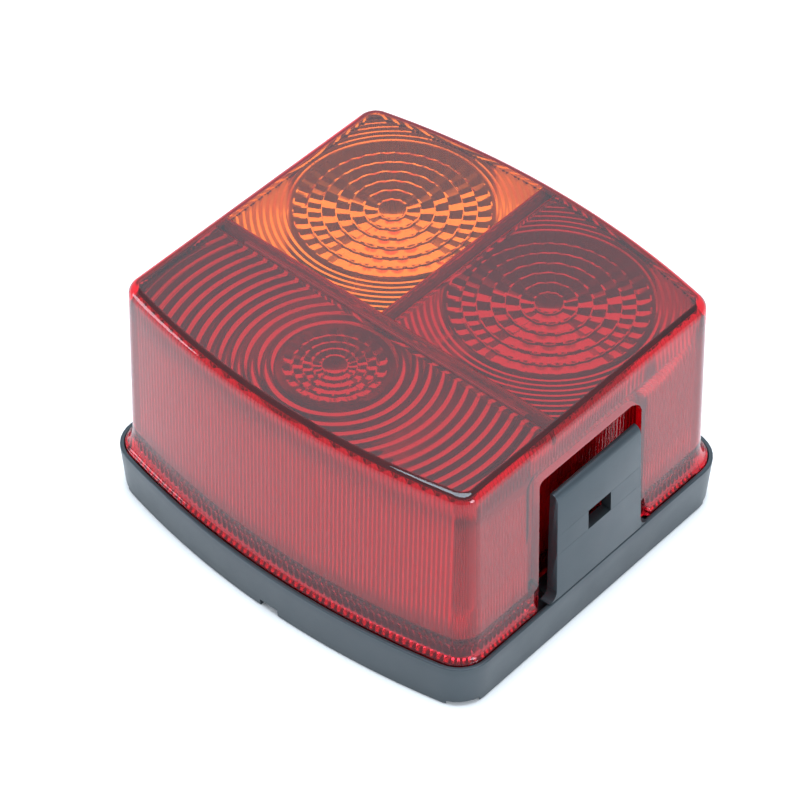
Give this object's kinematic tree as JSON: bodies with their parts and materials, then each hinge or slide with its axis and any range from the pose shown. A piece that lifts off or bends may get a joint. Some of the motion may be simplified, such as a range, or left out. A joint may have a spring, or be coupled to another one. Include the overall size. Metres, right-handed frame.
{
  "type": "trailer tail light",
  "caption": "Clip-on trailer tail light: a bowed red lens with an amber corner pane over a black tray, with bayonet bulbs for indicator, brake and tail.",
  "frame": {"origin": "centre of the tray on its mounting plane", "axes": "+Z out of the lens face, X across the straight sides with the latch tongues, Y across the bowed sides; the amber pane is towards -X and +Y"},
  "size_m": [0.104, 0.099, 0.0589],
  "materials": {
    "black_plastic": "satin, fine grain",
    "rubber": "matt",
    "sheet_steel": "zinc plated",
    "screw_steel": "zinc plated",
    "block_plastic": "matt",
    "brass": "bright",
    "shell_brass": "tin plated",
    "spring_steel": "drawn wire",
    "insulator": "matt",
    "bulb_foot_black": "glossy",
    "bulb_glass": "clear",
    "filament": "tungsten wire on a glass stem",
    "red_lens": "clear red, glossy",
    "amber_lens": "clear amber, glossy"
  },
  "bodies": {
    "base": {"base_housing": "black_plastic", "lens_gasket": "rubber", "cable_grommet": "rubber", "bulb_holder": "sheet_steel", "holder_screws": "screw_steel", "chamber_partition": "black_plastic", "terminal_block": "block_plastic", "blade_terminals": "brass", "feed_strips": "brass", "indicator_socket_shell": "shell_brass", "brake_socket_shell": "shell_brass", "tail_socket_shell": "shell_brass", "indicator_contact_spring": "spring_steel", "brake_contact_spring": "spring_steel", "tail_contact_spring": "spring_steel"},
    "lens": {"lens_red": "red_lens", "amber_pane": "amber_lens"},
    "latch_right": {"latch_tongue_right": "black_plastic"},
    "latch_left": {"latch_tongue_left": "black_plastic"},
    "indicator_contact": {"indicator_contact_disc": "insulator", "indicator_contact_button": "brass"},
    "indicator_bulb": {"indicator_bulb_foot": "bulb_foot_black", "indicator_bulb_cap": "brass", "indicator_bulb_glass": "bulb_glass", "indicator_bulb_filament": "filament"},
    "brake_contact": {"brake_contact_disc": "insulator", "brake_contact_button": "brass"},
    "brake_bulb": {"brake_bulb_foot": "bulb_foot_black", "brake_bulb_cap": "brass", "brake_bulb_glass": "bulb_glass", "brake_bulb_filament": "filament"},
    "tail_contact": {"tail_contact_disc": "insulator", "tail_contact_button": "brass"},
    "tail_bulb": {"tail_bulb_foot": "bulb_foot_black", "tail_bulb_cap": "brass", "tail_bulb_glass": "bulb_glass", "tail_bulb_filament": "filament"}
  },
  "joints": [
    {"name": "lens_lift", "type": "slide", "parent": "base", "child": "lens", "axis": [0, 0, 1], "range_m": [0, 0.06], "deforming": ["latch_tongue_right", "latch_tongue_left"]},
    {"name": "latch_right_flex", "type": "hinge", "parent": "base", "child": "latch_right", "pos_m": [0.0502, 0, 0.0118], "axis": [0, 1, 0], "range_deg": [0, 6], "stiffness_Nm_per_rad": 1.2},
    {"name": "latch_left_flex", "type": "hinge", "parent": "base", "child": "latch_left", "pos_m": [-0.0502, 0, 0.0118], "axis": [0, -1, 0], "range_deg": [0, 6], "stiffness_Nm_per_rad": 1.2},
    {"name": "indicator_bulb_push", "type": "slide", "parent": "base", "child": "indicator_contact", "axis": [0, -1, 0], "range_m": [0, 0.002], "stiffness_N_per_m": 600, "deforming": ["indicator_contact_spring"]},
    {"name": "indicator_bulb_turn", "type": "hinge", "parent": "indicator_contact", "child": "indicator_bulb", "pos_m": [-0.0222, -0.0146, 0.0305], "axis": [0, 1, 0], "range_deg": [0, 20]},
    {"name": "brake_bulb_push", "type": "slide", "parent": "base", "child": "brake_contact", "axis": [0, -1, 0], "range_m": [0, 0.002], "stiffness_N_per_m": 600, "deforming": ["brake_contact_spring"]},
    {"name": "brake_bulb_turn", "type": "hinge", "parent": "brake_contact", "child": "brake_bulb", "pos_m": [0.0218, -0.0146, 0.0305], "axis": [0, 1, 0], "range_deg": [0, 20]},
    {"name": "tail_bulb_push", "type": "slide", "parent": "base", "child": "tail_contact", "axis": [0, 1, 0], "range_m": [0, 0.002], "stiffness_N_per_m": 600, "deforming": ["tail_contact_spring"]},
    {"name": "tail_bulb_turn", "type": "hinge", "parent": "tail_contact", "child": "tail_bulb", "pos_m": [0.0008, -0.0075, 0.0305], "axis": [0, -1, 0], "range_deg": [0, 20]}
  ]
}
